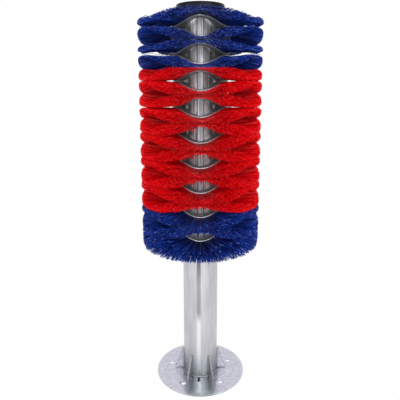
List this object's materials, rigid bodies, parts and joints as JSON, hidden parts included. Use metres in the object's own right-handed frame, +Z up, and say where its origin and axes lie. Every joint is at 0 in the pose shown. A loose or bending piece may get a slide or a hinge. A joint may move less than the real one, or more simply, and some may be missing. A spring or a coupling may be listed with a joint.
{
  "type": "rotating cow brush",
  "caption": "Free-standing rotating cow brush: wavy blue and red bristle rings on a tube that turns freely on a galvanised post with a bolted floor plate.",
  "frame": {"origin": "on the axis of rotation, at the underside of the floor plate", "axes": "+Z up along the axis of rotation, +Y away from the front; the key bar faces -Y"},
  "size_m": [0.381, 0.381, 1.219],
  "materials": {
    "galvanised_steel": "hot-dip galvanised, faint spangle",
    "galvanised_sheet": "galvanised strip and pipe, satin",
    "zinc_plated_steel": "bright zinc plated",
    "acetal": "natural acetal, turned",
    "black_plastic": "black moulded polyethylene, satin",
    "blue_bristle": "crimped polypropylene filament",
    "red_bristle": "crimped polypropylene filament"
  },
  "bodies": {
    "root": {"base_plate": "galvanised_steel", "post_tube": "galvanised_steel", "post_head": "galvanised_steel", "gusset_1": "galvanised_steel", "gusset_2": "galvanised_steel", "gusset_3": "galvanised_steel", "gusset_4": "galvanised_steel", "gusset_5": "galvanised_steel", "gusset_6": "galvanised_steel", "axle": "galvanised_steel", "axle_guide_ring": "galvanised_steel", "thrust_washer": "acetal", "keeper_washer": "zinc_plated_steel", "keeper_bolt": "zinc_plated_steel"},
    "rotor": {"brush_tube": "galvanised_sheet", "lower_flange": "galvanised_steel", "drive_key": "galvanised_sheet", "lower_bush": "acetal", "upper_bush": "acetal", "clamp_plate": "galvanised_steel", "locking_collar": "galvanised_steel", "collar_screw_1": "zinc_plated_steel", "collar_screw_2": "zinc_plated_steel", "top_cap": "black_plastic", "channel_ring_01": "galvanised_sheet", "channel_ring_02": "galvanised_sheet", "channel_ring_03": "galvanised_sheet", "channel_ring_04": "galvanised_sheet", "channel_ring_05": "galvanised_sheet", "channel_ring_06": "galvanised_sheet", "channel_ring_07": "galvanised_sheet", "channel_ring_08": "galvanised_sheet", "channel_ring_09": "galvanised_sheet", "channel_ring_10": "galvanised_sheet", "channel_ring_11": "galvanised_sheet", "channel_ring_12": "galvanised_sheet", "channel_ring_13": "galvanised_sheet", "channel_ring_14": "galvanised_sheet", "channel_ring_15": "galvanised_sheet", "channel_ring_16": "galvanised_sheet", "channel_ring_17": "galvanised_sheet", "channel_ring_18": "galvanised_sheet", "bristle_ring_01": "blue_bristle", "bristle_ring_02": "blue_bristle", "bristle_ring_03": "blue_bristle", "bristle_ring_04": "blue_bristle", "bristle_ring_05": "red_bristle", "bristle_ring_06": "red_bristle", "bristle_ring_07": "red_bristle", "bristle_ring_08": "red_bristle", "bristle_ring_09": "red_bristle", "bristle_ring_10": "red_bristle", "bristle_ring_11": "red_bristle", "bristle_ring_12": "red_bristle", "bristle_ring_13": "red_bristle", "bristle_ring_14": "red_bristle", "bristle_ring_15": "red_bristle", "bristle_ring_16": "blue_bristle", "bristle_ring_17": "blue_bristle", "bristle_ring_18": "blue_bristle"}
  },
  "joints": [
    {"name": "brush_spin", "type": "hinge", "parent": "root", "child": "rotor", "pos_m": [0, 0, 0.84], "axis": [0, 0, 1], "continuous": true}
  ]
}
